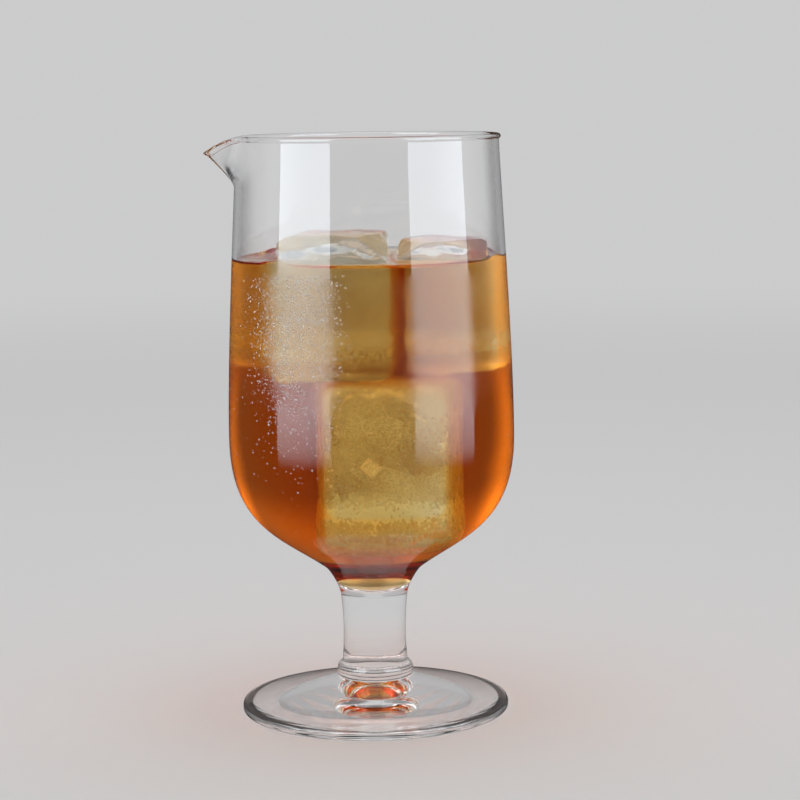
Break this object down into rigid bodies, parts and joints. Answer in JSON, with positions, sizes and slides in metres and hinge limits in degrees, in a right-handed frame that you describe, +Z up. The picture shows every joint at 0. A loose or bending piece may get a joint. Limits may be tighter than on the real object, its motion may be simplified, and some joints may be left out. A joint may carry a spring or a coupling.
{
  "type": "mixing glass",
  "caption": "Stemmed glass for stirring drinks, with a pinched pouring spout, a short stem and a wide foot, filled with an amber drink over large blocks of ice.",
  "frame": {"origin": "on the bar top, under the middle of the part's box; the spout makes that box 6.1 mm longer towards -X, so the glass's own upright axis stands at x = +3.04 mm, y = 0", "axes": "+Z up along the stem, -X towards the pouring spout, +Y away from a viewer who sees the spout on the left"},
  "size_m": [0.096, 0.09, 0.1823],
  "materials": {
    "clear_glass": "polished",
    "amber_drink": "gloss",
    "ice": "satin"
  },
  "bodies": {
    "root": {"foot": "clear_glass", "merese": "clear_glass", "stem": "clear_glass", "bowl": "clear_glass", "drink": "amber_drink", "ice_block_lower": "ice", "ice_block_left": "ice", "ice_block_right": "ice", "ice_block_back": "ice"}
  },
  "joints": []
}
